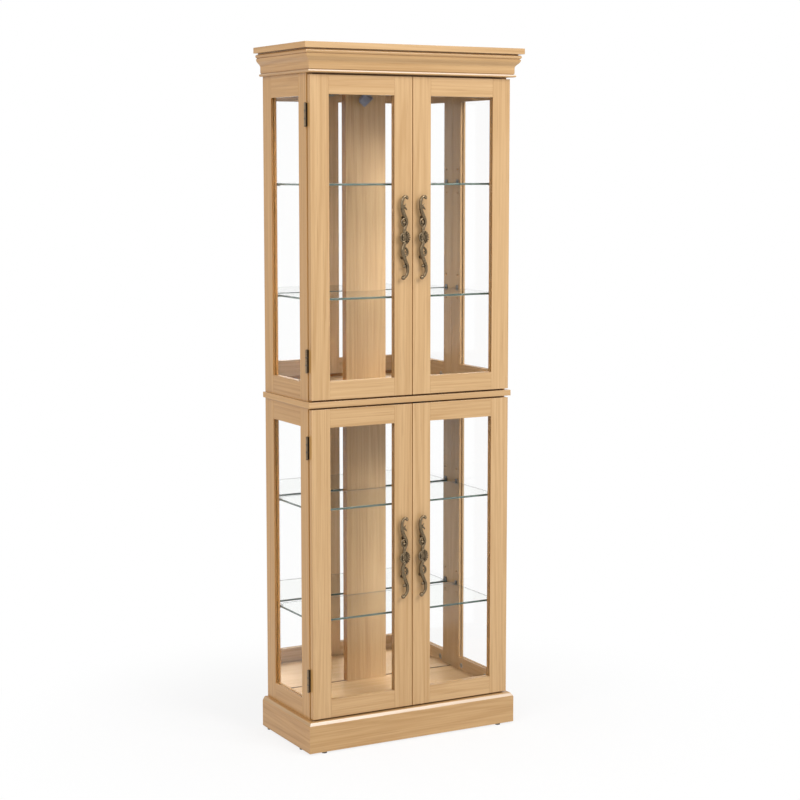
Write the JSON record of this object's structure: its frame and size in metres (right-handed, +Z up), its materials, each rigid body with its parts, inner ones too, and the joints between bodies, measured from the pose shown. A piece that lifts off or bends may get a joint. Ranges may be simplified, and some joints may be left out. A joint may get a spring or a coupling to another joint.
{
  "type": "display cabinet",
  "caption": "Tall glazed display cabinet in light oak with hinged glass doors above and below a waist board, glass shelves, a mirrored back, cornice and plinth.",
  "frame": {"origin": "on the floor, under the middle of the cabinet's outline", "axes": "+Z up, +X to the right as seen from the front, the doors face -Y"},
  "size_m": [0.597, 0.2904, 1.7],
  "materials": {
    "oak": "satin light oak",
    "hardboard": "plain hardboard",
    "glass": "clear float glass",
    "mirror": "silvered glass",
    "bronze": "antique bronze",
    "steel": "zinc plated",
    "plastic": "dark moulded",
    "lamp": "blue-grey satin"
  },
  "bodies": {
    "cabinet": {"bottom_front_rail": "oak", "cam_locks": "steel", "ceiling_panel": "oak", "cornice_front": "oak", "cornice_left": "oak", "cornice_right": "oak", "floor_panel": "oak", "foot_glides": "plastic", "hinge_frame_leaves": "bronze", "hinge_pins": "bronze", "lamp_base": "lamp", "lower_back_board": "oak", "lower_back_panel": "hardboard", "lower_high_shelf": "glass", "lower_left_mirror": "mirror", "lower_left_side_frame": "oak", "lower_left_side_glass": "glass", "lower_low_shelf": "glass", "lower_right_mirror": "mirror", "lower_right_side_frame": "oak", "lower_right_side_glass": "glass", "magnet_catches": "plastic", "plinth_front": "oak", "plinth_left": "oak", "plinth_right": "oak", "shelf_supports": "plastic", "top_board": "oak", "top_front_rail": "oak", "upper_back_board": "oak", "upper_back_panel": "hardboard", "upper_high_shelf": "glass", "upper_left_mirror": "mirror", "upper_left_side_frame": "oak", "upper_left_side_glass": "glass", "upper_low_shelf": "glass", "upper_right_mirror": "mirror", "upper_right_side_frame": "oak", "upper_right_side_glass": "glass", "waist_board": "oak"},
    "upper_left_door": {"upper_left_door_frame": "oak", "upper_left_door_glass": "glass", "upper_left_door_handle": "bronze", "upper_left_door_hinge_leaves": "bronze", "upper_left_door_strike": "steel"},
    "upper_right_door": {"upper_right_door_frame": "oak", "upper_right_door_glass": "glass", "upper_right_door_handle": "bronze", "upper_right_door_hinge_leaves": "bronze", "upper_right_door_strike": "steel"},
    "lower_left_door": {"lower_left_door_frame": "oak", "lower_left_door_glass": "glass", "lower_left_door_handle": "bronze", "lower_left_door_hinge_leaves": "bronze", "lower_left_door_strike": "steel"},
    "lower_right_door": {"lower_right_door_frame": "oak", "lower_right_door_glass": "glass", "lower_right_door_handle": "bronze", "lower_right_door_hinge_leaves": "bronze", "lower_right_door_strike": "steel"},
    "lamp_head": {"lamp_head": "lamp"}
  },
  "joints": [
    {"name": "upper_left_door_hinge", "type": "hinge", "parent": "cabinet", "child": "upper_left_door", "pos_m": [-0.2773, -0.1001, 1.244], "axis": [0, 0, -1], "range_deg": [0, 180]},
    {"name": "upper_right_door_hinge", "type": "hinge", "parent": "cabinet", "child": "upper_right_door", "pos_m": [0.2773, -0.1001, 1.244], "axis": [0, 0, 1], "range_deg": [0, 180]},
    {"name": "lower_left_door_hinge", "type": "hinge", "parent": "cabinet", "child": "lower_left_door", "pos_m": [-0.2773, -0.1001, 0.461], "axis": [0, 0, -1], "range_deg": [0, 180]},
    {"name": "lower_right_door_hinge", "type": "hinge", "parent": "cabinet", "child": "lower_right_door", "pos_m": [0.2773, -0.1001, 0.461], "axis": [0, 0, 1], "range_deg": [0, 180]},
    {"name": "lamp_tilt", "type": "hinge", "parent": "cabinet", "child": "lamp_head", "pos_m": [-0.013, 0.10425, 1.58], "axis": [0.5, 0.866, 0], "range_deg": [-40, 45]}
  ]
}
